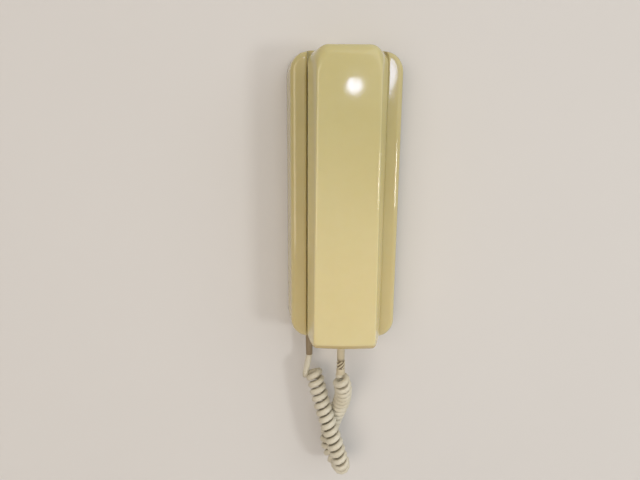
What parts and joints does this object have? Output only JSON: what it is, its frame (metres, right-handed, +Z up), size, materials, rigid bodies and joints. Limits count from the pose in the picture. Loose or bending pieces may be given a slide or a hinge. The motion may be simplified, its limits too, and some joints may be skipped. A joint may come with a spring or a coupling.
{
  "type": "wall intercom telephone",
  "caption": "Wall-hung intercom handset with sloping side facets, lying in a channel between the wings of its base, with a looped curly cord.",
  "frame": {"origin": "midway between the two wall screw holes, on the back face of the wall plate", "axes": "+X to the right seen from the room, +Y into the wall, +Z up; the wall is the plane Y = 0 and the handset faces -Y"},
  "size_m": [0.0874, 0.058, 0.3401],
  "materials": {
    "handset_plastic": "yellowed ivory, glossy",
    "base_plastic": "yellowed ivory, glossy",
    "rear_plastic": "ivory, matt",
    "lever_plastic": "ivory",
    "boot_rubber": "soft vinyl",
    "cord_vinyl": "soft vinyl, satin",
    "dark_rubber": "matt",
    "plated_steel": "zinc plated",
    "weight_steel": "plain",
    "capsule_metal": "satin",
    "terminal_brass": "bright",
    "terminal_white": "plain",
    "board": "paper laminate",
    "component_black": "moulded",
    "cone_paper": "paper"
  },
  "bodies": {
    "base": {"wall_plate": "plated_steel", "plate_screws": "plated_steel", "base_rear": "rear_plastic", "base_cover": "base_plastic", "rest_pads": "dark_rubber", "base_screws": "plated_steel", "base_cord_boot": "boot_rubber", "base_board": "board", "board_screws": "plated_steel", "board_components": "component_black", "terminal_block": "terminal_white", "terminal_screws": "terminal_brass", "chime_frame": "plated_steel", "chime_cone": "cone_paper", "chime_magnet": "plated_steel", "hook_lever_pin": "plated_steel", "hook_spring": "plated_steel", "hook_switch": "component_black", "cord_base_lead": "cord_vinyl", "cord_coil": "cord_vinyl"},
    "hook_lever": {"hook_lever": "lever_plastic"},
    "handset": {"handset_front": "handset_plastic", "handset_rear": "handset_plastic", "earpiece_capsule": "capsule_metal", "earpiece_gasket": "dark_rubber", "microphone_capsule": "capsule_metal", "microphone_grommet": "dark_rubber", "handset_weight": "weight_steel", "handset_screws": "plated_steel", "handset_cord_boot": "boot_rubber"}
  },
  "joints": [
    {"name": "handset_lift", "type": "slide", "parent": "base", "child": "handset", "axis": [0, -0.8, 0.6], "range_m": [0, 0.06]},
    {"name": "hook_lever_turn", "type": "hinge", "parent": "base", "child": "hook_lever", "pos_m": [0.014, -0.0085, 0.03], "axis": [1, 0, 0], "range_deg": [0, 12.2], "deforming": ["hook_spring"]}
  ],
  "couplings": [
    {"joint": "hook_lever_turn", "follows": "handset_lift", "rad_per_m": 3.49}
  ]
}
